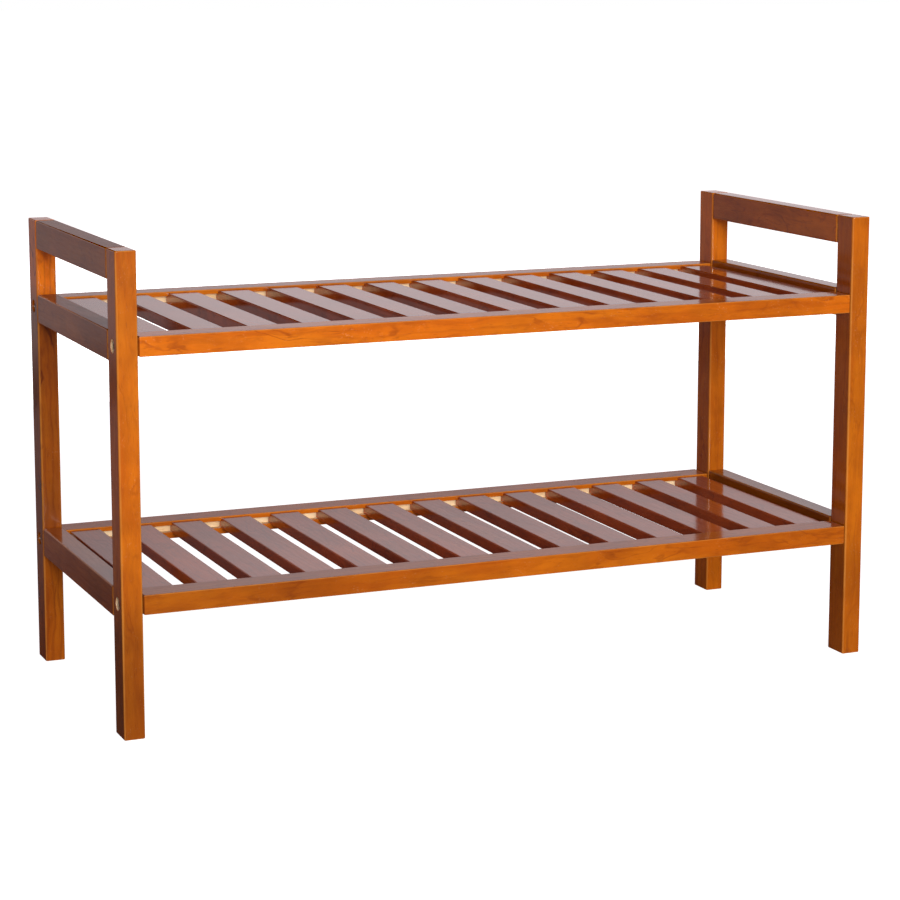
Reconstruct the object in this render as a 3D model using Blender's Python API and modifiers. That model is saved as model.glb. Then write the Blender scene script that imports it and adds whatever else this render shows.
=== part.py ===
"""Two-tier slatted entryway bench in stained solid wood, held together by eight bolts.

Frame: metres, +Z up, +X along the length, -Y is the front. The origin is on the floor
under the middle of the bench. Two end frames (posts, side rails and a top handle rail)
are joined by four long rails. Each shelf is a row of slats whose tongues sit in a groove
along the inner side of its two long rails.
"""

import math

import bmesh
import bpy

# Overall size
BENCH_LENGTH = 0.780
BENCH_DEPTH = 0.320
BENCH_HEIGHT = 0.450

# Every wooden piece that touches another keeps this gap to it
FIT_GAP = 0.0003

# Posts
POST_WIDTH = 0.020
POST_DEPTH = 0.0295
POST_EDGE_RADIUS = 0.002
POST_END_RADIUS = 0.0012

# Rails of the end frames, along Y: side rails and handle rails
END_RAIL_HEIGHT = 0.0285
END_RAIL_EDGE_RADIUS = 0.0015
END_RAIL_JOINT_CHAMFER = 0.003
TENON_THICKNESS = 0.008
TENON_HEIGHT = 0.016
TENON_LENGTH = 0.009

# Long rails, along X
LONG_RAIL_HEIGHT = 0.0185
LONG_RAIL_EDGE_RADIUS = 0.001
LONG_RAIL_JOINT_CHAMFER = 0.002

# Height of each shelf's long rails at their centre line, and of the side rails below it
SHELF_HEIGHTS = {"lower": 0.1253, "upper": 0.3628}
SIDE_RAIL_DROP = 0.001

# Slats, along Y
SLAT_COUNT = 14
SLAT_WIDTH = 0.031
SLAT_THICKNESS = 0.0115
SLAT_EDGE_RADIUS = 0.0012
SLAT_END_RADIUS = 0.0006
SLAT_TOP_DROP = 0.0014
SLAT_SIDE_GAP = 0.008
TONGUE_WIDTH = 0.030
TONGUE_HEIGHT = 0.0065
TONGUE_LENGTH = 0.007
TONGUE_TOP_DROP = 0.005

# Bolts, along X, with their heads sunk in the outer faces of the posts
COUNTERBORE_RADIUS = 0.0065
COUNTERBORE_DEPTH = 0.0065
BOLT_HOLE_RADIUS = 0.0035
HEAD_RADIUS = 0.0057
HEAD_HEIGHT = 0.0045
HEAD_CHAMFER = 0.0006
SHANK_RADIUS = 0.003
SHANK_LENGTH = 0.0435
SOCKET_RADIUS = 0.0029
SOCKET_DEPTH = 0.0028
BOLT_HOLE_SPARE = 0.002

# Barrel nuts, upright in blind holes in the underside of the long rails
NUT_RADIUS = 0.005
NUT_LENGTH = 0.014
NUT_FROM_RAIL_END = 0.022
NUT_BORE_RADIUS = 0.0033
NUT_SLOT_WIDTH = 0.0014
NUT_SLOT_DEPTH = 0.0014

# Sides of the round pieces, and flat steps in each rounded edge
ROUND_SIDES = 16
HEXAGON_SIDES = 6
EDGE_STEPS = 2
SMOOTH_ANGLE = math.radians(35)
MERGE_DISTANCE = 0.00005
THROUGH = 0.010

# Colours are linear
WOOD_COLOUR = (0.300, 0.075, 0.016, 1.0)
WOOD_ROUGHNESS = 0.28
STEEL_COLOUR = (0.560, 0.550, 0.520, 1.0)
STEEL_ROUGHNESS = 0.35

X, Y, Z = 0, 1, 2

# Places that follow from the sizes above
POST_X = BENCH_LENGTH / 2 - POST_WIDTH / 2
POST_Y = BENCH_DEPTH / 2 - POST_DEPTH / 2
END_RAIL_LENGTH = BENCH_DEPTH - 2 * POST_DEPTH - 2 * FIT_GAP
LONG_RAIL_LENGTH = BENCH_LENGTH - 2 * POST_WIDTH - 2 * FIT_GAP
SLAT_LENGTH = BENCH_DEPTH - 2 * POST_DEPTH - 2 * FIT_GAP
SLAT_SPAN = BENCH_LENGTH - 2 * POST_WIDTH - 2 * SLAT_SIDE_GAP
SLAT_PITCH = (SLAT_SPAN - SLAT_WIDTH) / (SLAT_COUNT - 1)
HANDLE_Z = BENCH_HEIGHT - END_RAIL_HEIGHT / 2

SIDES = {"left": -1, "right": 1}
FACES = {"front": -1, "back": 1}


def clear_scene():
    """Removes whatever objects the open file holds."""
    for obj in list(bpy.data.objects):
        bpy.data.objects.remove(obj, do_unlink=True)


def new_collection(name):
    """Adds a collection to the scene."""
    collection = bpy.data.collections.new(name)
    bpy.context.scene.collection.children.link(collection)
    return collection


def new_material(name, colour, roughness, metallic):
    """A Principled BSDF material with one colour."""
    material = bpy.data.materials.new(name)
    material.use_nodes = True
    shader = material.node_tree.nodes["Principled BSDF"]
    shader.inputs["Base Color"].default_value = colour
    shader.inputs["Roughness"].default_value = roughness
    shader.inputs["Metallic"].default_value = metallic
    return material


def add_object(name, mesh, collection, location=(0, 0, 0)):
    """Puts a mesh in a collection as a new object."""
    obj = bpy.data.objects.new(name, mesh)
    obj.location = location
    collection.objects.link(obj)
    return obj


def box_mesh(name, size):
    """A box of the given size, centred on its own origin."""
    bm = bmesh.new()
    bmesh.ops.create_cube(bm, size=1.0)
    bmesh.ops.scale(bm, vec=size, verts=bm.verts)
    mesh = bpy.data.meshes.new(name)
    bm.to_mesh(mesh)
    bm.free()
    return mesh


def cylinder_mesh(name, radius, length, sides):
    """A capped cylinder along Z, centred on its own origin."""
    bm = bmesh.new()
    bmesh.ops.create_cone(
        bm, cap_ends=True, segments=sides, radius1=radius, radius2=radius, depth=length
    )
    mesh = bpy.data.meshes.new(name)
    bm.to_mesh(mesh)
    bm.free()
    return mesh


def round_edges(obj, long_axis, long_radius, end_radius, steps):
    """Rounds a box: one radius on the edges along long_axis, another round its two ends."""
    largest = max(long_radius, end_radius)
    bm = bmesh.new()
    bm.from_mesh(obj.data)
    weight = bm.edges.layers.float.new("bevel_weight_edge")
    for edge in bm.edges:
        run = edge.verts[1].co - edge.verts[0].co
        along = abs(run[long_axis]) > run.length / 2
        edge[weight] = (long_radius if along else end_radius) / largest
    bm.to_mesh(obj.data)
    bm.free()
    bevel = obj.modifiers.new("rounded_edges", "BEVEL")
    bevel.limit_method = "WEIGHT"
    bevel.width = largest
    bevel.segments = steps


def combine(obj, tool, operation):
    """Adds a Boolean modifier that joins or cuts obj with tool."""
    boolean = obj.modifiers.new(operation.lower(), "BOOLEAN")
    boolean.operation = operation
    boolean.solver = "EXACT"
    boolean.object = tool


def hide_tool(tool, rotation=(0, 0, 0)):
    """Marks a cutter or joiner, which is no part of the bench."""
    tool.rotation_euler = rotation
    tool.hide_render = True
    tool.display_type = "WIRE"
    return tool


def box_tool(name, size, location):
    """A box that cuts or joins other pieces."""
    return hide_tool(add_object(name, box_mesh(name, size), tools, location))


def bore_tool(name, radius, length, location, along_x):
    """A cylinder that cuts a hole, along X or upright."""
    mesh = cylinder_mesh(name, radius, length, ROUND_SIDES)
    turn = (0, math.radians(90), 0) if along_x else (0, 0, 0)
    return hide_tool(add_object(name, mesh, tools, location), turn)


def make_post(side, face, bolt_cutters):
    """One post, with a mortise for each end-frame rail and a stepped hole for each bolt."""
    x = SIDES[side] * POST_X
    y = FACES[face] * POST_Y
    name = f"post_{face}_{side}"
    mesh = box_mesh(name, (POST_WIDTH, POST_DEPTH, BENCH_HEIGHT))
    post = add_object(name, mesh, parts, (x, y, BENCH_HEIGHT / 2))
    round_edges(post, Z, POST_EDGE_RADIUS, POST_END_RADIUS, EDGE_STEPS)
    mortise_depth = TENON_LENGTH + 2 * FIT_GAP
    mortise_size = (
        TENON_THICKNESS + 2 * FIT_GAP,
        mortise_depth + THROUGH,
        TENON_HEIGHT + 2 * FIT_GAP,
    )
    inner_y = FACES[face] * (BENCH_DEPTH / 2 - POST_DEPTH)
    mortise_y = inner_y + FACES[face] * (mortise_depth - THROUGH) / 2
    for level, z in end_rail_heights().items():
        cutter = box_tool(f"mortise_{level}_{face}_{side}", mortise_size, (x, mortise_y, z))
        combine(post, cutter, "DIFFERENCE")
    for cutter in bolt_cutters:
        combine(post, cutter, "DIFFERENCE")
    post.data.materials.append(wood)


def end_rail_heights():
    """Centre height of each rail of an end frame."""
    heights = {level: z - SIDE_RAIL_DROP for level, z in SHELF_HEIGHTS.items()}
    heights["handle"] = HANDLE_Z
    return heights


def make_end_rail(side, level, z):
    """A rail of an end frame, along Y, with a stub tenon at each end."""
    name = f"handle_rail_{side}" if level == "handle" else f"side_rail_{level}_{side}"
    x = SIDES[side] * POST_X
    mesh = box_mesh(name, (POST_WIDTH, END_RAIL_LENGTH, END_RAIL_HEIGHT))
    rail = add_object(name, mesh, parts, (x, 0, z))
    round_edges(rail, Y, END_RAIL_EDGE_RADIUS, END_RAIL_JOINT_CHAMFER, EDGE_STEPS)
    tenon_size = (TENON_THICKNESS, END_RAIL_LENGTH + 2 * TENON_LENGTH, TENON_HEIGHT)
    combine(rail, box_tool(f"tenons_{level}_{side}", tenon_size, (x, 0, z)), "UNION")
    rail.data.materials.append(wood)


def make_long_rail(face, level, z, bolt_cutters, nut_cutters):
    """A front or back rail, grooved for the slats and bored at both ends for a bolt and nut."""
    name = f"{face}_rail_{level}"
    y = FACES[face] * POST_Y
    mesh = box_mesh(name, (LONG_RAIL_LENGTH, POST_DEPTH, LONG_RAIL_HEIGHT))
    rail = add_object(name, mesh, parts, (0, y, z))
    round_edges(rail, X, LONG_RAIL_EDGE_RADIUS, LONG_RAIL_JOINT_CHAMFER, EDGE_STEPS)
    groove_depth = TONGUE_LENGTH + 2 * FIT_GAP
    groove_size = (
        BENCH_LENGTH,
        groove_depth + THROUGH,
        TONGUE_HEIGHT + 2 * FIT_GAP,
    )
    inner_y = FACES[face] * (BENCH_DEPTH / 2 - POST_DEPTH)
    groove_y = inner_y + FACES[face] * (groove_depth - THROUGH) / 2
    groove_z = z + LONG_RAIL_HEIGHT / 2 - TONGUE_TOP_DROP - TONGUE_HEIGHT / 2
    groove = box_tool(f"groove_{face}_{level}", groove_size, (0, groove_y, groove_z))
    combine(rail, groove, "DIFFERENCE")
    for cutter in bolt_cutters + nut_cutters:
        combine(rail, cutter, "DIFFERENCE")
    rail.data.materials.append(wood)


def make_slats(level, z):
    """One shelf's slats. Each is a separate piece, and all share one shape."""
    rail_top = z + LONG_RAIL_HEIGHT / 2
    slat_z = rail_top - SLAT_TOP_DROP - SLAT_THICKNESS / 2
    tongue_z = rail_top - TONGUE_TOP_DROP - TONGUE_HEIGHT / 2
    tongue_size = (TONGUE_WIDTH, SLAT_LENGTH + 2 * TONGUE_LENGTH, TONGUE_HEIGHT)
    first_x = -(SLAT_SPAN - SLAT_WIDTH) / 2
    for index in range(SLAT_COUNT):
        name = f"slat_{level}_{index + 1:02d}"
        x = first_x + index * SLAT_PITCH
        mesh = box_mesh(name, (SLAT_WIDTH, SLAT_LENGTH, SLAT_THICKNESS))
        slat = add_object(name, mesh, parts, (x, 0, slat_z))
        round_edges(slat, Y, SLAT_EDGE_RADIUS, SLAT_END_RADIUS, EDGE_STEPS)
        tongues = box_tool(f"tongues_{level}_{index + 1:02d}", tongue_size, (x, 0, tongue_z))
        combine(slat, tongues, "UNION")
        slat.data.materials.append(wood)


def bolt_profile():
    """Half section of a bolt, from the top of its head down to the end of its shank."""
    return [
        (0.0, HEAD_HEIGHT),
        (HEAD_RADIUS - HEAD_CHAMFER, HEAD_HEIGHT),
        (HEAD_RADIUS, HEAD_HEIGHT - HEAD_CHAMFER),
        (HEAD_RADIUS, 0.0),
        (SHANK_RADIUS, 0.0),
        (SHANK_RADIUS, HEAD_CHAMFER - SHANK_LENGTH),
        (SHANK_RADIUS - HEAD_CHAMFER, -SHANK_LENGTH),
        (0.0, -SHANK_LENGTH),
    ]


def make_bolt(label, side, location):
    """A socket-head bolt, turned round its axis, its head facing out of the bench."""
    name = f"bolt_{label}"
    points = bolt_profile()
    mesh = bpy.data.meshes.new(name)
    edges = [(i, i + 1) for i in range(len(points) - 1)]
    mesh.from_pydata([(r, 0, h) for r, h in points], edges, [])
    bolt = add_object(name, mesh, parts, location)
    bolt.rotation_euler = (0, SIDES[side] * math.radians(90), 0)
    turn = bolt.modifiers.new("turned", "SCREW")
    turn.steps = ROUND_SIDES
    turn.render_steps = ROUND_SIDES
    turn.use_merge_vertices = True
    turn.merge_threshold = MERGE_DISTANCE
    depth = SOCKET_DEPTH + THROUGH
    socket_mesh = cylinder_mesh(f"socket_{label}", SOCKET_RADIUS, depth, HEXAGON_SIDES)
    middle = HEAD_HEIGHT - SOCKET_DEPTH + depth / 2
    x, y, z = location
    socket = add_object(f"socket_{label}", socket_mesh, tools, (x + SIDES[side] * middle, y, z))
    hide_tool(socket, (0, SIDES[side] * math.radians(90), 0))
    combine(bolt, socket, "DIFFERENCE")
    finish_round(bolt, steel)


def make_barrel_nut(label, location, slot_z):
    """A barrel nut, upright, with its cross bore along X and a screwdriver slot underneath."""
    name = f"barrel_nut_{label}"
    nut = add_object(name, cylinder_mesh(name, NUT_RADIUS, NUT_LENGTH, ROUND_SIDES), parts, location)
    bore = bore_tool(f"nut_bore_{label}", NUT_BORE_RADIUS, 4 * NUT_RADIUS, location, True)
    combine(nut, bore, "DIFFERENCE")
    slot_size = (4 * NUT_RADIUS, NUT_SLOT_WIDTH, 2 * NUT_SLOT_DEPTH)
    slot = box_tool(f"nut_slot_{label}", slot_size, (location[0], location[1], slot_z))
    combine(nut, slot, "DIFFERENCE")
    finish_round(nut, steel)


def finish_round(obj, material):
    """Smooth shading on a round piece, with its corners kept sharp."""
    obj.data.shade_smooth()
    obj.data.set_sharp_from_angle(angle=SMOOTH_ANGLE)
    obj.data.materials.append(material)


def make_fastener(side, face, level):
    """One bolt and barrel nut. Returns the cutters for their holes in the post and the rail."""
    label = f"{level}_{face}_{side}"
    z = SHELF_HEIGHTS[level]
    y = FACES[face] * POST_Y
    out = SIDES[side]
    floor_x = out * (BENCH_LENGTH / 2 - COUNTERBORE_DEPTH)
    make_bolt(label, side, (floor_x + out * FIT_GAP, y, z))
    rail_end_x = out * LONG_RAIL_LENGTH / 2
    nut_x = rail_end_x - out * NUT_FROM_RAIL_END
    make_barrel_nut(label, (nut_x, y, z), z - NUT_LENGTH / 2)

    sink_x = floor_x + out * THROUGH / 2
    sink = bore_tool(f"sink_{label}", COUNTERBORE_RADIUS, THROUGH, (sink_x, y, z), True)
    hole_length = SHANK_LENGTH + BOLT_HOLE_SPARE + THROUGH
    hole_x = floor_x + out * (THROUGH - hole_length / 2)
    hole = bore_tool(f"hole_{label}", BOLT_HOLE_RADIUS, hole_length, (hole_x, y, z), True)
    pocket_radius = NUT_RADIUS + FIT_GAP
    pocket_length = NUT_LENGTH + FIT_GAP + THROUGH
    pocket_z = z + NUT_LENGTH / 2 + FIT_GAP - pocket_length / 2
    pocket = bore_tool(f"pocket_{label}", pocket_radius, pocket_length, (nut_x, y, pocket_z), False)
    return [sink, hole], [hole], [pocket]


def make_bench():
    """Builds every piece of the bench."""
    for face in FACES:
        post_cutters = {side: [] for side in SIDES}
        for level, z in SHELF_HEIGHTS.items():
            rail_cutters = []
            nut_cutters = []
            for side in SIDES:
                in_post, in_rail, for_nut = make_fastener(side, face, level)
                post_cutters[side] += in_post
                rail_cutters += in_rail
                nut_cutters += for_nut
            make_long_rail(face, level, z, rail_cutters, nut_cutters)
        for side in SIDES:
            make_post(side, face, post_cutters[side])
    for side in SIDES:
        for level, z in end_rail_heights().items():
            make_end_rail(side, level, z)
    for level, z in SHELF_HEIGHTS.items():
        make_slats(level, z)


clear_scene()
parts = new_collection("entryway_bench")
tools = new_collection("cutters")
wood = new_material("stained_wood", WOOD_COLOUR, WOOD_ROUGHNESS, 0.0)
steel = new_material("zinc_steel", STEEL_COLOUR, STEEL_ROUGHNESS, 1.0)
make_bench()
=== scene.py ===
import math
import random

import bmesh
import bpy
from mathutils import Matrix, Vector


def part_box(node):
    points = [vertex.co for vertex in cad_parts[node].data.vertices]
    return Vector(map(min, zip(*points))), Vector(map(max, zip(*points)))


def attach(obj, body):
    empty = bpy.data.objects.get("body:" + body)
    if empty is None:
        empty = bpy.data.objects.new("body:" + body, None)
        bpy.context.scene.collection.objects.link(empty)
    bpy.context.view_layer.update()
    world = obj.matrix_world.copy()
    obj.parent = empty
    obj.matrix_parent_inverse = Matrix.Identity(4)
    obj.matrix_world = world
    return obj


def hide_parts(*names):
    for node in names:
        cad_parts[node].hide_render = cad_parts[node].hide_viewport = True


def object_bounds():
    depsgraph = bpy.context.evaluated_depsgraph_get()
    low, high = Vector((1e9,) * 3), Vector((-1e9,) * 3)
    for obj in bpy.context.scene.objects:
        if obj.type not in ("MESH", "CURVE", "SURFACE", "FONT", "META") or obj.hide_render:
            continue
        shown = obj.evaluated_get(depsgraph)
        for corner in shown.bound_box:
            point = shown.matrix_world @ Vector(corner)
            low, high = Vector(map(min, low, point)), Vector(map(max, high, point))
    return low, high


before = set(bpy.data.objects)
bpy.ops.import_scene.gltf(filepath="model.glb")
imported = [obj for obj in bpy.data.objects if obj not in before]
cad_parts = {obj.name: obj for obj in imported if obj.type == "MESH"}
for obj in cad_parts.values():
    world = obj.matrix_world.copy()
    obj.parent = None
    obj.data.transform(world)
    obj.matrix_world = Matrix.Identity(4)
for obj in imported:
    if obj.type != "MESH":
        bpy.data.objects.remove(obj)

CAD_LOW, CAD_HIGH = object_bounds()

# Joinery, as in the CAD source
FIT_GAP = 0.0003
TENON_THICKNESS = 0.008
TENON_HEIGHT = 0.016
TENON_LENGTH = 0.009
TONGUE_WIDTH = 0.030
TONGUE_HEIGHT = 0.0065
TONGUE_LENGTH = 0.007
TONGUE_TOP_DROP = 0.005
COUNTERBORE_RADIUS = 0.0065
COUNTERBORE_DEPTH = 0.0065
BOLT_HOLE_RADIUS = 0.0035
BOLT_HOLE_DEPTH = 0.052
NUT_HEADROOM = 0.0003

# Rounded edges: long edges first, then the edges round the two ends
POST_RADII = (0.002, 0.0012)
END_RAIL_RADII = (0.0015, 0.003)
LONG_RAIL_RADII = (0.001, 0.002)
SLAT_RADII = (0.0012, 0.0006)
EDGE_STEPS = 5
RIM_RADIUS = 0.0004
RIM_STEPS = 2
BORE_SIDES = 48
SMOOTH_ANGLE = math.radians(32)
# How far a cutting tool reaches past the surface that it cuts
CUT_REACH = 0.02
SAME_POINT = 0.00001

# Camera: on the front left of the bench, a little above the upper shelf
CAMERA_PLACE = Vector((-0.996, -2.356, 0.709))
CAMERA_TURN = math.radians(22.92)
CAMERA_DIP = math.radians(8.97)
CAMERA_LENS = 102.6
CAMERA_SENSOR = 36.0
CAMERA_SHIFT = -0.10

# Studio: a floor, a backdrop on edge behind the bench, and two area lights
FLOOR_SIZE = (60.0, 60.0)
BACKDROP_SIZE = (9.0, 3.0)
BACKDROP_PLACE = (0, 1.6, 1.5)
LIGHT_AIM = (0.0, 0.0, 0.22)
KEY_PLACE = (-0.83, -6.75, 1.92)
KEY_SIZE = (3.0, 2.4)
KEY_POWER = 415.0
BACK_PLACE = (0.6, 3.0, 2.2)
BACK_SIZE = (2.4, 1.6)
BACK_POWER = 80.0

X, Y, Z = 0, 1, 2

# Kinds of face, which are also their material slots. Only dull-topped pieces have the third
STAINED_FACE = 0
RAW_FACE = 1
DULL_FACE = 2
USUAL_FACE_KINDS = 2

FACES = ("front", "back")
SIDES = ("left", "right")
LEVELS = ("lower", "upper")
FACE_SIGN = {"front": -1, "back": 1}
SIDE_SIGN = {"left": -1, "right": 1}

# Edge tint of the long edges and of the end edges: 1 or more is rubbed pale, which also
# paints the rounded edges' highlights, and -1 is painted shade, dark where a rail's end meets a post
POST_WEAR_AND_HIGHLIGHT = (0.8, 0.8)
END_RAIL_WEAR_AND_HIGHLIGHT = (0.5, 1.4)
# Front and back rails: long edges rubbed pale with painted highlight, ends dark with painted shade
LONG_RAIL_WEAR_LIGHT_AND_SHADE = (0.8, -1.0)
SLAT_WEAR_AND_HIGHLIGHT = (0.15, 0.1)
# How quickly the edge tint grows from the foot of a rounded edge to its crown
WEAR_AND_LIGHT_SLOPE = 1.4

# Each piece's tone at one end (foot, left or front), its tone along the middle, its tone at the other end,
# and the strength of its growth figure. The tones are partly stain and partly painted light and shade:
# the back-left post's bright head and the back-right post's tones are painted light, the right-hand side
# rails' dark tones are painted shade, and the front-left post is darker towards its foot
PIECE_STAIN_AND_LIGHT = {
    "post_front_left": (0.44, 0.84, 0.78, 0.30),
    "post_front_right": (0.64, 0.74, 0.74, 0.25),
    "post_back_left": (0.62, 0.48, 1.40, 1.00),
    "post_back_right": (0.92, 0.80, 1.05, 0.40),
    "front_rail_lower": (0.53, 0.72, 0.70, 0.40),
    "front_rail_upper": (1.10, 0.92, 0.90, 0.55),
    "handle_rail_left": (0.60, 0.60, 0.60, 0.30),
    "handle_rail_right": (0.80, 0.76, 0.72, 0.40),
    "side_rail_upper_left": (0.56, 0.58, 0.60, 0.40),
    "side_rail_lower_left": (0.50, 0.56, 0.66, 0.30),
    "side_rail_upper_right": (0.62, 0.60, 0.56, 0.40),
    "side_rail_lower_right": (0.42, 0.46, 0.46, 0.30),
}
USUAL_LOOK = (0.80, 0.80, 0.80, 0.50)
SLAT_TONES = (0.74, 0.88)
SLAT_FIGURE = 0.45

# The pieces whose top was rubbed down to a duller finish
DULL_TOPPED = ("handle_rail_left", "side_rail_upper_left")

# Where the tone changes along a piece, as shares of its length: from the first to the
# second, and from the third to the fourth
POST_TONE_ENDS = (0.20, 0.32, 0.80, 0.86)
RAIL_TONE_ENDS = (0.0, 0.5, 0.5, 1.0)
RAIL_MIDDLE = (0.5,)

# Stain colours, from where the wood takes most stain to where it takes least
FRAME_STAIN = ((0.30, 0.042, 0.001), (0.66, 0.140, 0.001), (0.82, 0.215, 0.003))
SLAT_STAIN = ((0.26, 0.036, 0.005), (0.56, 0.086, 0.009), (0.70, 0.130, 0.014))
DULL_STAIN = ((0.24, 0.040, 0.008), (0.46, 0.110, 0.030), (0.56, 0.160, 0.050))
SPECK_COLOUR = (0.85, 0.34, 0.12)
# Rubbed edges, whose pale orange also paints the rounded edges' highlights
WORN_AND_HIGHLIT_COLOUR = (0.88, 0.38, 0.07)
# Painted shade in the joint where a front or back rail's end meets a post
PAINTED_JOINT_SHADE_COLOUR = (0.09, 0.018, 0.004)

# Share of full gloss lacquer
FULL_LACQUER = 1.0
RAIL_LACQUER = 0.75
DULL_LACQUER = 0.45


# ---------------------------------------------------------------- meshes

def scratch_object(mesh):
    """A working object, which is removed again once its modifiers are applied."""
    obj = bpy.data.objects.new("scratch", mesh)
    bpy.context.scene.collection.objects.link(obj)
    return obj


def applied(obj):
    """The mesh that an object's modifiers give. The object is removed."""
    bpy.context.view_layer.update()
    graph = bpy.context.evaluated_depsgraph_get()
    mesh = bpy.data.meshes.new_from_object(obj.evaluated_get(graph))
    bpy.data.objects.remove(obj, do_unlink=True)
    return mesh


def wooden_mesh(bm, face_kind):
    """Turns a bmesh into a mesh whose faces are all stained wood or all bare wood."""
    for face in bm.faces:
        face.material_index = face_kind
    mesh = bpy.data.meshes.new("wood")
    for _ in range(USUAL_FACE_KINDS):
        mesh.materials.append(None)
    bm.to_mesh(mesh)
    bm.free()
    return mesh


def block(low, high, face_kind=STAINED_FACE):
    """A plain box between two corners."""
    bm = bmesh.new()
    bmesh.ops.create_cube(bm, size=1.0)
    bmesh.ops.scale(bm, vec=high - low, verts=bm.verts)
    bmesh.ops.translate(bm, vec=(low + high) / 2, verts=bm.verts)
    return wooden_mesh(bm, face_kind)


def rod(centre, axis, radius, length, sides, face_kind):
    """A capped cylinder along one axis."""
    turn = Matrix.Identity(4)
    if axis == X:
        turn = Matrix.Rotation(math.radians(90), 4, "Y")
    bm = bmesh.new()
    bmesh.ops.create_cone(
        bm, cap_ends=True, segments=sides, radius1=radius, radius2=radius, depth=length,
        matrix=Matrix.Translation(centre) @ turn,
    )
    return wooden_mesh(bm, face_kind)


def rounded_block(low, high, axis, radii):
    """A box whose long edges have the first radius and whose end edges have the second."""
    largest = max(radii)
    mesh = block(low, high)
    bm = bmesh.new()
    bm.from_mesh(mesh)
    weight = bm.edges.layers.float.new("bevel_weight_edge")
    for edge in bm.edges:
        run = edge.verts[1].co - edge.verts[0].co
        along = abs(run[axis]) > run.length / 2
        edge[weight] = (radii[0] if along else radii[1]) / largest
    bm.to_mesh(mesh)
    bm.free()
    obj = scratch_object(mesh)
    bevel = obj.modifiers.new("rounding", "BEVEL")
    bevel.limit_method = "WEIGHT"
    bevel.width = largest
    bevel.segments = EDGE_STEPS
    return applied(obj)


def boolean(mesh, tools, operation):
    """Joins or cuts a mesh with each tool in turn."""
    obj = scratch_object(mesh)
    helpers = []
    for tool in tools:
        helper = scratch_object(tool)
        helpers.append(helper)
        step = obj.modifiers.new(operation, "BOOLEAN")
        step.operation = operation
        step.solver = "EXACT"
        step.material_mode = "INDEX"
        step.object = helper
    result = applied(obj)
    for helper in helpers:
        bpy.data.objects.remove(helper, do_unlink=True)
    return result


def ease_rims(mesh):
    """Takes the sharp corner off every edge between a stained face and a raw one."""
    bm = bmesh.new()
    bm.from_mesh(mesh)
    rims = [
        edge for edge in bm.edges
        if len(edge.link_faces) == 2
        and edge.link_faces[0].material_index != edge.link_faces[1].material_index
    ]
    bmesh.ops.bevel(
        bm, geom=rims, offset=RIM_RADIUS, segments=RIM_STEPS, profile=0.5,
        affect="EDGES", clamp_overlap=True, material=STAINED_FACE,
    )
    bm.to_mesh(mesh)
    bm.free()
    return mesh


def shade(mesh):
    """Smooth rounded edges beside flat faces that stay flat."""
    mesh.shade_smooth()
    mesh.set_sharp_from_angle(angle=SMOOTH_ANGLE)
    obj = scratch_object(mesh)
    step = obj.modifiers.new("normals", "WEIGHTED_NORMAL")
    step.keep_sharp = True
    step.weight = 100
    return applied(obj)


def cut_loops(mesh, low, high, axis, shares):
    """Adds a loop of points round the mesh at each share of its length."""
    bm = bmesh.new()
    bm.from_mesh(mesh)
    normal = Vector((0, 0, 0))
    normal[axis] = 1
    for share in shares:
        geometry = bm.verts[:] + bm.edges[:] + bm.faces[:]
        place = low + (high - low) * share
        bmesh.ops.bisect_plane(bm, geom=geometry, dist=SAME_POINT, plane_co=place, plane_no=normal)
    bm.to_mesh(mesh)
    bm.free()
    return mesh


def edge_wear_and_light(place, low, high, axis, radii, wear_and_light):
    """The edge tint at a point of the box, rubbed pale with a painted highlight or dark with painted
    shade: all of it along a rounded edge, and 0 on the flat faces.
    """
    inset = []
    for i in range(3):
        depth = min(place[i] - low[i], high[i] - place[i])
        inset.append((max(depth, 0.0), i))
    inset.sort()
    first, second = inset[0], inset[1]
    kind = 1 if axis in (first[1], second[1]) else 0
    return wear_and_light[kind] * max(0.0, min(1.0, WEAR_AND_LIGHT_SLOPE * (1.0 - second[0] / radii[kind])))


def tone_at(share, look, ends):
    """The tone at a share of a piece's length."""
    first = min(max((share - ends[0]) / (ends[1] - ends[0]), 0.0), 1.0)
    last = min(max((share - ends[2]) / (ends[3] - ends[2]), 0.0), 1.0)
    return look[0] + (look[1] - look[0]) * first + (look[2] - look[1]) * last


def add_wood_data(mesh, low, high, axis, radii, wear_and_light, seed, look, ends=RAIL_TONE_ENDS):
    """Stores, at each point, its place in the piece's own timber, and its look there.

    The look's three numbers are the tone (stain, and on some pieces painted light and shade), the strength
    of the figure and the edge tint (rubbed pale with painted highlight, or painted shade).
    """
    draw = random.Random(seed)
    middle = (low + high) / 2
    across = [i for i in range(3) if i != axis]
    pith_angle = draw.uniform(0, 2 * math.pi)
    pith_away = draw.uniform(0.035, 0.110)
    pith = (pith_away * math.cos(pith_angle), pith_away * math.sin(pith_angle))
    start = draw.uniform(0, 20)
    lean = (draw.uniform(-0.03, 0.03), draw.uniform(-0.03, 0.03))
    grain = []
    looks = []
    for vertex in mesh.vertices:
        local = vertex.co - middle
        along = local[axis]
        grain.append(along + start)
        grain.append(local[across[0]] + pith[0] + lean[0] * along)
        grain.append(local[across[1]] + pith[1] + lean[1] * along)
        looks.append(tone_at(along / (high[axis] - low[axis]) + 0.5, look, ends))
        looks.append(look[3])
        looks.append(edge_wear_and_light(vertex.co, low, high, axis, radii, wear_and_light))
    for name, values in (("grain", grain), ("look", looks)):
        mesh.attributes.new(name, "FLOAT_VECTOR", "POINT")
        mesh.attributes[name].data.foreach_set("vector", values)


def add_piece(name, node, mesh, materials):
    """Puts a finished mesh in the scene in place of its CAD node."""
    mesh.name = name
    for place, material in enumerate(materials):
        mesh.materials[place] = material
    obj = bpy.data.objects.new(name, mesh)
    bpy.context.scene.collection.objects.link(obj)
    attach(obj, "root")
    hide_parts(node)
    return obj


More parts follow.
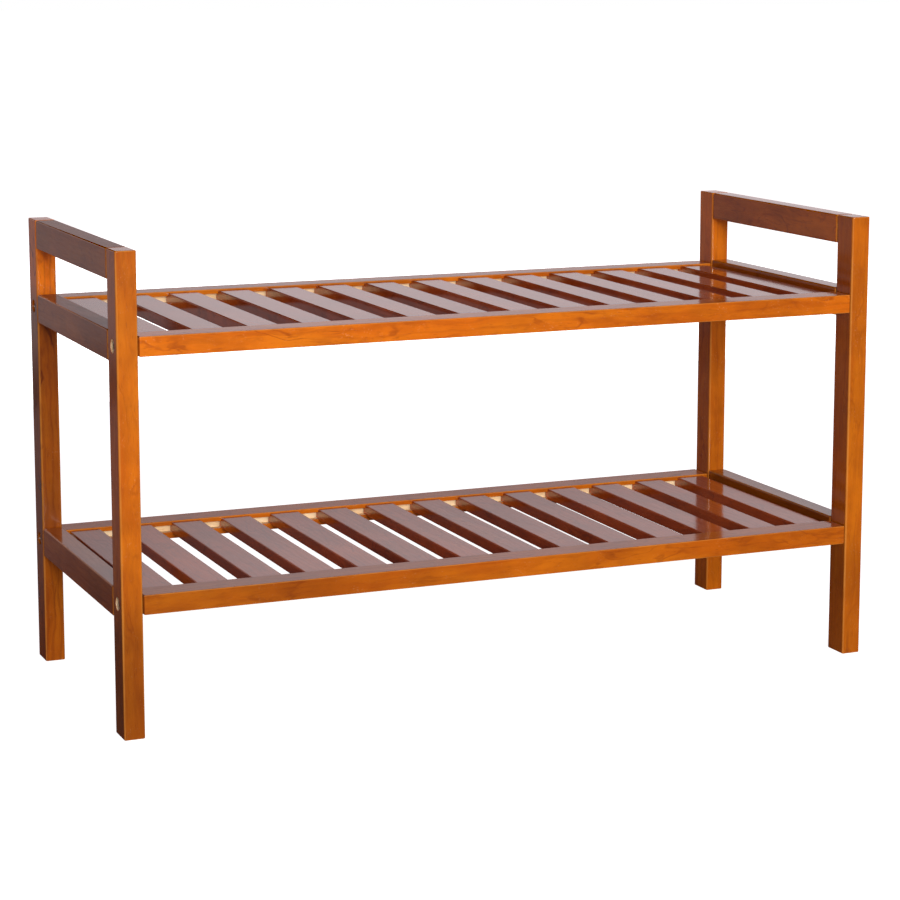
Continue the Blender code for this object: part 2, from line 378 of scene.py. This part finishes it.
# ------------------------------------------------------------- materials

def add_node(tree, kind, inputs=(), **settings):
    """Adds a node to any tree, with its inputs linked or set, and returns it."""
    node = tree.nodes.new(kind)
    for key, value in settings.items():
        setattr(node, key, value)
    for key, value in dict(inputs).items():
        if isinstance(value, bpy.types.NodeSocket):
            tree.links.new(value, node.inputs[key])
        else:
            node.inputs[key].default_value = value
    return node


def ramp(tree, value, low, high, out_low, out_high):
    """A smooth step of one value."""
    inputs = {"Value": value, "From Min": low, "From Max": high, "To Min": out_low, "To Max": out_high}
    node = add_node(tree, "ShaderNodeMapRange", inputs, interpolation_type="SMOOTHSTEP")
    return node.outputs["Result"]


class Graph:
    """A material's node tree, with short calls for the nodes used here."""

    def __init__(self, name):
        self.material = bpy.data.materials.new(name)
        self.material.use_nodes = True
        self.tree = self.material.node_tree
        self.shader = self.tree.nodes["Principled BSDF"]

    def drive(self, socket, value):
        """Links one of the shader's sockets to a texture."""
        self.tree.links.new(value, self.shader.inputs[socket])

    def add(self, kind, inputs=(), **settings):
        """Adds a node to this material."""
        return add_node(self.tree, kind, inputs, **settings)

    def attribute(self, name, output):
        """Reads a value stored on the mesh."""
        return self.add("ShaderNodeAttribute", attribute_name=name).outputs[output]

    def scaled(self, vector, scale):
        """A vector with each of its three numbers multiplied."""
        node = self.add("ShaderNodeMapping", {"Vector": vector, "Scale": scale}, vector_type="POINT")
        return node.outputs["Vector"]

    def noise(self, vector, scale, detail=3.0, roughness=0.55, distortion=0.0):
        """Cloudy noise around 0.5."""
        inputs = {
            "Vector": vector, "Scale": scale, "Detail": detail,
            "Roughness": roughness, "Distortion": distortion,
        }
        return self.add("ShaderNodeTexNoise", inputs).outputs["Fac"]

    def spread(self, value, low, high, out_low=0.0, out_high=1.0):
        """A smooth step of one value."""
        return ramp(self.tree, value, low, high, out_low, out_high)

    def math(self, operation, first, second=0.0):
        """Plain arithmetic on one or two values."""
        return self.add("ShaderNodeMath", {0: first, 1: second}, operation=operation).outputs[0]

    def blend(self, amount, first, second, mode="MIX"):
        """Mixes two colours. The colours' sockets are numbers 6 and 7, and the result's is 2."""
        node = self.add(
            "ShaderNodeMix", {0: amount, 6: first, 7: second}, data_type="RGBA", blend_type=mode
        )
        return node.outputs[2]

    def bump(self, height, distance, strength):
        """Fine relief from a height."""
        inputs = {"Height": height, "Distance": distance, "Strength": strength}
        return self.add("ShaderNodeBump", inputs).outputs["Normal"]


def colour(red, green, blue):
    """A linear colour with full alpha."""
    return (red, green, blue, 1.0)


def wood_figure(graph):
    """The timber's own pattern: growth rings, veins, fibres, bands and pores, each 0 to 1."""
    grain = graph.attribute("grain", "Vector")
    wander = graph.add("ShaderNodeTexNoise", {
        "Vector": graph.scaled(grain, (22.0, 60.0, 60.0)), "Scale": 1.0, "Detail": 2.0,
    }).outputs["Color"]
    wander = graph.add("ShaderNodeVectorMath", {0: wander, 1: (0.5, 0.5, 0.5)}, operation="SUBTRACT")
    wander = graph.add("ShaderNodeVectorMath", {0: wander.outputs[0], "Scale": 0.010}, operation="SCALE")
    wavy = graph.add("ShaderNodeVectorMath", {0: grain, 1: wander.outputs[0]}, operation="ADD").outputs[0]
    rings = graph.add(
        "ShaderNodeTexWave",
        {
            "Vector": graph.scaled(wavy, (0.06, 1.0, 1.0)), "Scale": 55.0, "Distortion": 3.0,
            "Detail": 3.0, "Detail Scale": 0.5, "Detail Roughness": 0.65,
        },
        wave_type="RINGS", rings_direction="X", wave_profile="SIN",
    ).outputs["Fac"]
    rings = graph.spread(rings, 0.55, 1.0)
    swirl = graph.noise(graph.scaled(wavy, (13.0, 40.0, 40.0)), 1.0, 3.0, 0.55, 0.5)
    contour = graph.math("ABSOLUTE", graph.math("SUBTRACT", swirl, 0.52))
    fading = graph.spread(graph.noise(graph.scaled(grain, (18.0, 30.0, 30.0)), 1.0, 2.0), 0.42, 0.62)
    veins = graph.math("MULTIPLY", graph.spread(contour, 0.0, 0.035, 1.0, 0.0), fading)
    fibres = graph.noise(graph.scaled(wavy, (9.0, 420.0, 420.0)), 1.0, 4.0, 0.65)
    bands = graph.noise(graph.scaled(wavy, (6.0, 42.0, 42.0)), 1.0, 3.0, 0.6, 0.4)
    pores = graph.noise(graph.scaled(grain, (110.0, 1500.0, 1500.0)), 1.0, 2.0, 0.5)
    return rings, veins, fibres, bands, pores


def stained_wood(name, stain, lacquer):
    """Reddish-brown transparent stain under a given share of gloss lacquer."""
    dark, middle, light = (colour(*tone) for tone in stain)
    graph = Graph(name)
    grain = graph.attribute("grain", "Vector")
    look = graph.add("ShaderNodeSeparateXYZ", {"Vector": graph.attribute("look", "Vector")})
    tone, figure, wear_and_light = look.outputs[0], look.outputs[1], look.outputs[2]
    rings, veins, fibres, bands, pores = wood_figure(graph)

    tint = graph.blend(graph.spread(bands, 0.30, 0.72), middle, light)
    clouds = graph.noise(graph.scaled(grain, (16.0, 55.0, 55.0)), 1.0, 4.0, 0.62, 0.6)
    cloudy = graph.math("MULTIPLY", graph.spread(clouds, 0.50, 0.78), graph.math("MULTIPLY", figure, 0.75))
    tint = graph.blend(cloudy, tint, dark)
    tint = graph.blend(graph.math("MULTIPLY", rings, graph.math("MULTIPLY", figure, 0.30)), tint, dark)
    tint = graph.blend(graph.math("MULTIPLY", veins, figure), tint, dark)
    tint = graph.blend(graph.spread(fibres, 0.54, 0.82, 0.0, 0.45), tint, dark)
    streaks = graph.noise(graph.scaled(grain, (5.0, 130.0, 130.0)), 1.0, 2.0, 0.5)
    tint = graph.blend(graph.spread(streaks, 0.64, 0.78, 0.0, 0.35), tint, dark)
    tint = graph.blend(graph.spread(pores, 0.62, 0.72, 0.0, 0.40), tint, dark)

    scuffed = graph.spread(graph.noise(grain, 45.0, 3.0, 0.6), 0.50, 0.66, 0.08, 0.55)
    specks = graph.noise(graph.scaled(grain, (420.0, 900.0, 900.0)), 1.0, 2.0, 0.6)
    specks = graph.math("MULTIPLY", graph.spread(specks, 0.58, 0.72), scuffed)
    tint = graph.blend(specks, tint, colour(*SPECK_COLOUR))

    # The tone scales the stain; on some pieces it also holds painted light and shade
    blotches = graph.noise(grain, 16.0, 3.0, 0.6)
    level = graph.math("MULTIPLY", graph.spread(blotches, 0.30, 0.70, 0.86, 1.10), tone)
    grey = graph.add("ShaderNodeCombineColor", {0: level, 1: level, 2: level}).outputs[0]
    tint = graph.blend(1.0, tint, grey, "MULTIPLY")

    # Rubbed pale edges, which also paint the rounded edges' highlights
    patchy = graph.noise(graph.scaled(grain, (30.0, 160.0, 160.0)), 1.0, 3.0, 0.6)
    worn_and_highlit = graph.math("MULTIPLY", graph.math("MAXIMUM", wear_and_light, 0.0), 0.75)
    worn_and_highlit = graph.math("MULTIPLY", worn_and_highlit, graph.spread(patchy, 0.25, 0.65, 0.45, 1.0))
    # Painted shade where the edge tint is below 0: the front and back rails' ends at the posts
    painted_joint_shade = graph.math("MULTIPLY", graph.math("MAXIMUM", graph.math("MULTIPLY", wear_and_light, -1.0), 0.0), 0.85)
    tint = graph.blend(worn_and_highlit, tint, colour(*WORN_AND_HIGHLIT_COLOUR))
    tint = graph.blend(painted_joint_shade, tint, colour(*PAINTED_JOINT_SHADE_COLOUR))
    graph.drive("Base Color", tint)

    graph.drive("Roughness", graph.spread(fibres, 0.2, 0.8, 0.50, 0.68))
    graph.shader.inputs["Specular IOR Level"].default_value = 0.08
    graph.shader.inputs["Coat Weight"].default_value = lacquer
    graph.shader.inputs["Coat Roughness"].default_value = 0.12
    graph.shader.inputs["Coat IOR"].default_value = 1.5
    relief = graph.math("ADD", graph.math("MULTIPLY", fibres, 0.6), graph.math("MULTIPLY", pores, 0.4))
    ripple = graph.noise(graph.scaled(grain, (18.0, 60.0, 60.0)), 1.0, 2.0, 0.5)
    graph.drive("Normal", graph.bump(relief, 0.00012, 0.6))
    graph.drive("Coat Normal", graph.bump(ripple, 0.0004, 0.35))
    return graph.material


def raw_wood(name):
    """Bare, cut timber inside grooves and bores: pale, dull and a little fuzzy."""
    graph = Graph(name)
    rings, _, fibres, bands, pores = wood_figure(graph)
    tint = graph.blend(graph.spread(bands, 0.3, 0.7), colour(0.88, 0.64, 0.36), colour(0.94, 0.76, 0.50))
    tint = graph.blend(graph.math("MULTIPLY", rings, 0.3), tint, colour(0.62, 0.34, 0.12))
    tint = graph.blend(graph.spread(pores, 0.60, 0.72, 0.0, 0.6), tint, colour(0.50, 0.27, 0.10))
    graph.drive("Base Color", tint)
    graph.drive("Roughness", graph.spread(fibres, 0.2, 0.8, 0.70, 0.90))
    graph.drive("Normal", graph.bump(fibres, 0.0002, 0.8))
    return graph.material


def zinc_steel(name, bright, dull):
    """Zinc-plated steel with faint lathe marks and a cloudy finish."""
    graph = Graph(name)
    place = graph.add("ShaderNodeTexCoord").outputs["Object"]
    clouds = graph.noise(place, 420.0, 3.0, 0.6)
    marks = graph.noise(graph.scaled(place, (300.0, 4000.0, 4000.0)), 1.0, 2.0, 0.5)
    graph.drive("Base Color", graph.blend(graph.spread(clouds, 0.3, 0.7), dull, bright))
    graph.shader.inputs["Metallic"].default_value = 1.0
    graph.drive("Roughness", graph.spread(clouds, 0.25, 0.75, 0.24, 0.42))
    graph.drive("Normal", graph.bump(marks, 0.00005, 0.5))
    return graph.material


# ------------------------------------------------------------ the pieces

def body_box(node, axis, projection):
    """A node's box without the tenons or tongues that stand out of its two ends."""
    low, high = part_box(node)
    low[axis] += projection
    high[axis] -= projection
    return low, high


def bore_places():
    """Where the bolts lie: for each face and level, their Y and Z."""
    places = {}
    for face in FACES:
        for level in LEVELS:
            low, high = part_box(f"{face}_rail_{level}")
            places[face, level] = ((low.y + high.y) / 2, (low.z + high.z) / 2)
    return places


def bolt_hole(side, y, z, surface):
    """The clearance hole for a bolt's shank, from its counterbore inwards."""
    out = SIDE_SIGN[side]
    floor_x = out * (CAD_HIGH.x - COUNTERBORE_DEPTH)
    centre = Vector((floor_x + out * (CUT_REACH - BOLT_HOLE_DEPTH) / 2, y, z))
    return rod(centre, X, BOLT_HOLE_RADIUS, BOLT_HOLE_DEPTH + CUT_REACH, BORE_SIDES, surface)


def counterbore(side, y, z, surface):
    """The wide outer part of a bolt hole."""
    out = SIDE_SIGN[side]
    centre = Vector((out * (CAD_HIGH.x - COUNTERBORE_DEPTH + CUT_REACH / 2), y, z))
    return rod(centre, X, COUNTERBORE_RADIUS, CUT_REACH, BORE_SIDES, surface)


def mortise(side, face, rail, post_inner):
    """The pocket in a post for one rail's tenon."""
    low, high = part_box(rail)
    centre = (low + high) / 2
    half_x = TENON_THICKNESS / 2 + FIT_GAP
    half_z = TENON_HEIGHT / 2 + FIT_GAP
    outward = FACE_SIGN[face]
    floor = post_inner + outward * (TENON_LENGTH + 2 * FIT_GAP)
    mouth = post_inner - outward * CUT_REACH
    return block(
        Vector((centre.x - half_x, min(floor, mouth), centre.z - half_z)),
        Vector((centre.x + half_x, max(floor, mouth), centre.z + half_z)),
        RAW_FACE,
    )


def make_posts(materials, places):
    """The four posts, with their mortises and bolt holes. The back ones are stained inside."""
    for face in FACES:
        for side in SIDES:
            node = f"post_{face}_{side}"
            low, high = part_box(node)
            post_inner = high.y if face == "front" else low.y
            tools = []
            for rail in (f"side_rail_lower_{side}", f"side_rail_upper_{side}", f"handle_rail_{side}"):
                tools.append(mortise(side, face, rail, post_inner))
            surface = RAW_FACE if face == "front" else STAINED_FACE
            for level in LEVELS:
                y, z = places[face, level]
                tools.append(counterbore(side, y, z, surface))
                tools.append(bolt_hole(side, y, z, surface))
            mesh = rounded_block(low, high, Z, POST_RADII)
            mesh = ease_rims(boolean(mesh, tools, "DIFFERENCE"))
            mesh = shade(cut_loops(mesh, low, high, Z, POST_TONE_ENDS))
            look = PIECE_STAIN_AND_LIGHT[node]
            add_wood_data(mesh, low, high, Z, POST_RADII, POST_WEAR_AND_HIGHLIGHT, node, look, POST_TONE_ENDS)
            add_piece(f"{node}_wood", node, mesh, materials)


def dull_top(mesh):
    """Gives the faces that look straight up the duller finish."""
    mesh.materials.append(None)
    for face in mesh.polygons:
        if face.normal.z > 0.99 and face.material_index == STAINED_FACE:
            face.material_index = DULL_FACE


def make_end_rails(materials):
    """The side rails and the handle rails, each with a stub tenon at both ends."""
    for side in SIDES:
        for node in (f"side_rail_lower_{side}", f"side_rail_upper_{side}", f"handle_rail_{side}"):
            low, high = body_box(node, Y, TENON_LENGTH)
            centre = (low + high) / 2
            reach = Vector((TENON_THICKNESS / 2, (high.y - low.y) / 2 + TENON_LENGTH, TENON_HEIGHT / 2))
            tenons = block(centre - reach, centre + reach, RAW_FACE)
            mesh = rounded_block(low, high, Y, END_RAIL_RADII)
            mesh = shade(boolean(mesh, [tenons], "UNION"))
            look = PIECE_STAIN_AND_LIGHT.get(node, USUAL_LOOK)
            add_wood_data(mesh, low, high, Y, END_RAIL_RADII, END_RAIL_WEAR_AND_HIGHLIGHT, node, look)
            finishes = materials[:USUAL_FACE_KINDS]
            if node in DULL_TOPPED:
                dull_top(mesh)
                finishes = materials
            add_piece(f"{node}_wood", node, mesh, finishes)


def make_long_rails(materials, places):
    """The front and back rails, with the slats' groove, bolt holes and nut pockets."""
    for face in FACES:
        for level in LEVELS:
            node = f"{face}_rail_{level}"
            low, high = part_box(node)
            outward = FACE_SIGN[face]
            inner = high.y if face == "front" else low.y
            floor = inner + outward * (TONGUE_LENGTH + 2 * FIT_GAP)
            mouth = inner - outward * CUT_REACH
            top = high.z - TONGUE_TOP_DROP + FIT_GAP
            bottom = high.z - TONGUE_TOP_DROP - TONGUE_HEIGHT - FIT_GAP
            tools = [
                block(
                    Vector((low.x - CUT_REACH, min(floor, mouth), bottom)),
                    Vector((high.x + CUT_REACH, max(floor, mouth), top)),
                    RAW_FACE,
                )
            ]
            y, z = places[face, level]
            for side in SIDES:
                nut_low, nut_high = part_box(f"barrel_nut_{level}_{face}_{side}")
                nut = (nut_low + nut_high) / 2
                ceiling = nut_high.z + NUT_HEADROOM
                radius = (nut_high.y - nut_low.y) / 2 + FIT_GAP
                length = ceiling - low.z + CUT_REACH
                centre = Vector((nut.x, nut.y, ceiling - length / 2))
                tools.append(bolt_hole(side, y, z, RAW_FACE))
                tools.append(rod(centre, Z, radius, length, BORE_SIDES, RAW_FACE))
            mesh = rounded_block(low, high, X, LONG_RAIL_RADII)
            mesh = ease_rims(boolean(mesh, tools, "DIFFERENCE"))
            mesh = shade(cut_loops(mesh, low, high, X, RAIL_MIDDLE))
            look = PIECE_STAIN_AND_LIGHT.get(node, USUAL_LOOK)
            add_wood_data(mesh, low, high, X, LONG_RAIL_RADII, LONG_RAIL_WEAR_LIGHT_AND_SHADE, node, look)
            add_piece(f"{node}_wood", node, mesh, materials)


def make_slats(materials):
    """The slats of both shelves, each with a tongue at both ends and a tone of its own."""
    for level in LEVELS:
        nodes = sorted(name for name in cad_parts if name.startswith(f"slat_{level}_"))
        for node in nodes:
            low, high = body_box(node, Y, TONGUE_LENGTH)
            rail_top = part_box(f"front_rail_{level}")[1].z
            tongue_top = rail_top - TONGUE_TOP_DROP
            centre = (low + high) / 2
            tongues = block(
                Vector((centre.x - TONGUE_WIDTH / 2, low.y - TONGUE_LENGTH, tongue_top - TONGUE_HEIGHT)),
                Vector((centre.x + TONGUE_WIDTH / 2, high.y + TONGUE_LENGTH, tongue_top)),
            )
            mesh = rounded_block(low, high, Y, SLAT_RADII)
            mesh = shade(boolean(mesh, [tongues], "UNION"))
            tone = random.Random(node + "_tone").uniform(*SLAT_TONES)
            look = (tone, tone, tone, SLAT_FIGURE)
            add_wood_data(mesh, low, high, Y, SLAT_RADII, SLAT_WEAR_AND_HIGHLIGHT, node, look)
            add_piece(f"{node}_wood", node, mesh, materials)


def dress_hardware(bolt_material, nut_material):
    """The bolts and barrel nuts keep their CAD shape and get a plated finish."""
    for name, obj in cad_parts.items():
        if name.startswith("bolt_"):
            obj.data.materials.clear()
            obj.data.materials.append(bolt_material)
        elif name.startswith("barrel_nut_"):
            obj.data.materials.clear()
            obj.data.materials.append(nut_material)


# --------------------------------------------------------------- setting

def stage_plane(name, material, size, place, turn=(0, 0, 0)):
    """A large flat sheet of the studio, which isn't part of the bench."""
    bpy.ops.mesh.primitive_plane_add(size=1.0, location=place, rotation=turn)
    sheet = bpy.context.object
    sheet.scale = (size[0], size[1], 1.0)
    sheet.name = name
    sheet.data.materials.append(material)
    return sheet


def pale_floor():
    """White to the camera, mid-grey in diffuse light, and open from below.

    In reflections it is dark in front of the bench and brighter behind it.
    """
    material = bpy.data.materials.new("pale_floor")
    material.use_nodes = True
    tree = material.node_tree
    tree.nodes.clear()
    path = add_node(tree, "ShaderNodeLightPath")
    side = add_node(tree, "ShaderNodeNewGeometry")
    glow = add_node(tree, "ShaderNodeEmission", {"Color": colour(1, 1, 1), "Strength": 0.93})
    shadowed = add_node(tree, "ShaderNodeBsdfDiffuse", {"Color": colour(0.85, 0.85, 0.85)})
    seen = add_node(tree, "ShaderNodeAddShader", {0: glow.outputs[0], 1: shadowed.outputs[0]})
    bounced = add_node(tree, "ShaderNodeBsdfDiffuse", {"Color": colour(0.58, 0.55, 0.53)})
    place = add_node(tree, "ShaderNodeSeparateXYZ", {"Vector": side.outputs["Position"]})
    grey = ramp(tree, place.outputs["Y"], 0.05, 0.90, 0.09, 0.37)
    grey = add_node(tree, "ShaderNodeCombineColor", {0: grey, 1: grey, 2: grey}).outputs[0]
    mirrored = add_node(tree, "ShaderNodeBsdfDiffuse", {"Color": grey})
    thrown = add_node(
        tree, "ShaderNodeMixShader",
        {0: path.outputs["Is Glossy Ray"], 1: bounced.outputs[0], 2: mirrored.outputs[0]},
    )
    upper = add_node(
        tree, "ShaderNodeMixShader",
        {0: path.outputs["Is Camera Ray"], 1: thrown.outputs[0], 2: seen.outputs[0]},
    )
    open_side = add_node(tree, "ShaderNodeBsdfTransparent")
    whole = add_node(
        tree, "ShaderNodeMixShader",
        {0: side.outputs["Backfacing"], 1: upper.outputs[0], 2: open_side.outputs[0]},
    )
    add_node(tree, "ShaderNodeOutputMaterial", {"Surface": whole.outputs[0]})
    return material


def glowing_backdrop():
    """The bright band of paper behind the bench, which fades towards the floor and the ceiling."""
    material = bpy.data.materials.new("backdrop_paper")
    material.use_nodes = True
    tree = material.node_tree
    tree.nodes.clear()
    point = add_node(tree, "ShaderNodeNewGeometry").outputs["Position"]
    place = add_node(tree, "ShaderNodeSeparateXYZ", {"Vector": point})
    height = place.outputs["Z"]
    left_fade = ramp(tree, place.outputs["X"], -0.30, 0.40, 0.45, 1.0)
    low_part = ramp(tree, height, 0.02, 0.14, 0.05, 0.25)
    high_part = ramp(tree, height, 0.30, 0.62, 0.0, 0.62)
    faded = add_node(tree, "ShaderNodeMath", {0: high_part, 1: left_fade}, operation="MULTIPLY")
    fade = ramp(tree, height, 0.68, 0.92, 0.0, 0.80)
    glow = add_node(tree, "ShaderNodeMath", {0: low_part, 1: faded.outputs[0]}, operation="ADD")
    glow = add_node(tree, "ShaderNodeMath", {0: glow.outputs[0], 1: fade}, operation="SUBTRACT")
    paper = add_node(
        tree, "ShaderNodeEmission", {"Color": colour(1.0, 0.91, 0.94), "Strength": glow.outputs[0]}
    )
    add_node(tree, "ShaderNodeOutputMaterial", {"Surface": paper.outputs[0]})
    return material


def make_setting():
    """The floor, and a backdrop that shows only in reflections and as soft light from behind."""
    stage_plane("studio_floor", pale_floor(), FLOOR_SIZE, (0, 0, 0))
    on_edge = (math.radians(90), 0, 0)
    backdrop = stage_plane(
        "studio_backdrop", glowing_backdrop(), BACKDROP_SIZE, BACKDROP_PLACE, on_edge
    )
    backdrop.visible_camera = False


def make_world():
    """White to the camera, a dim grey in reflections, and a dim pink in diffuse light."""
    world = bpy.data.worlds.new("studio")
    bpy.context.scene.world = world
    world.use_nodes = True
    tree = world.node_tree
    tree.nodes.clear()
    path = add_node(tree, "ShaderNodeLightPath")
    room = add_node(tree, "ShaderNodeBackground", {"Color": colour(1.0, 0.58, 0.66), "Strength": 0.24})
    gloss = add_node(tree, "ShaderNodeBackground", {"Color": colour(1, 1, 1), "Strength": 0.10})
    white = add_node(tree, "ShaderNodeBackground", {"Color": colour(1, 1, 1), "Strength": 1.0})
    thrown = add_node(
        tree, "ShaderNodeMixShader",
        {0: path.outputs["Is Glossy Ray"], 1: room.outputs[0], 2: gloss.outputs[0]},
    )
    mix = add_node(
        tree, "ShaderNodeMixShader",
        {0: path.outputs["Is Camera Ray"], 1: thrown.outputs[0], 2: white.outputs[0]},
    )
    add_node(tree, "ShaderNodeOutputWorld", {"Surface": mix.outputs[0]})


def add_area_light(name, place, size, power):
    """A soft rectangular light that faces the middle of the bench."""
    data = bpy.data.lights.new(name, "AREA")
    data.shape = "RECTANGLE"
    data.size, data.size_y = size
    data.energy = power
    light = bpy.data.objects.new(name, data)
    light.location = place
    light.rotation_mode = "QUATERNION"
    light.rotation_quaternion = (Vector(LIGHT_AIM) - Vector(place)).to_track_quat("-Z", "Y")
    bpy.context.scene.collection.objects.link(light)
    return light


def make_lights():
    """A key light from the front, and a weaker one behind that reflections leave out."""
    add_area_light("key", KEY_PLACE, KEY_SIZE, KEY_POWER)
    back_light = add_area_light("back", BACK_PLACE, BACK_SIZE, BACK_POWER)
    back_light.visible_glossy = False


def make_camera():
    """The camera that the picture is taken with."""
    data = bpy.data.cameras.new("camera")
    data.lens = CAMERA_LENS
    data.sensor_width = CAMERA_SENSOR
    data.shift_y = CAMERA_SHIFT
    camera = bpy.data.objects.new("camera", data)
    camera.location = CAMERA_PLACE
    look = Vector((
        math.sin(CAMERA_TURN) * math.cos(CAMERA_DIP),
        math.cos(CAMERA_TURN) * math.cos(CAMERA_DIP),
        -math.sin(CAMERA_DIP),
    ))
    camera.rotation_mode = "QUATERNION"
    camera.rotation_quaternion = look.to_track_quat("-Z", "Y")
    bpy.context.scene.collection.objects.link(camera)
    bpy.context.scene.camera = camera


bpy.context.scene.view_settings.view_transform = "Standard"
frame_stain = stained_wood("frame_wood", FRAME_STAIN, FULL_LACQUER)
rail_stain = stained_wood("rail_wood", FRAME_STAIN, RAIL_LACQUER)
slat_stain = stained_wood("slat_wood", SLAT_STAIN, FULL_LACQUER)
dull_stain = stained_wood("dull_wood", DULL_STAIN, DULL_LACQUER)
bare_wood = raw_wood("bare_wood")
bolt_plating = zinc_steel("bolt_plating", colour(0.74, 0.73, 0.70), colour(0.52, 0.51, 0.48))
nut_plating = zinc_steel("nut_plating", colour(0.72, 0.69, 0.60), colour(0.50, 0.47, 0.40))

bolt_places = bore_places()
make_posts([frame_stain, bare_wood], bolt_places)
make_end_rails([frame_stain, bare_wood, dull_stain])
make_long_rails([rail_stain, bare_wood], bolt_places)
make_slats([slat_stain, bare_wood])
dress_hardware(bolt_plating, nut_plating)

make_setting()
make_world()
make_lights()
make_camera()
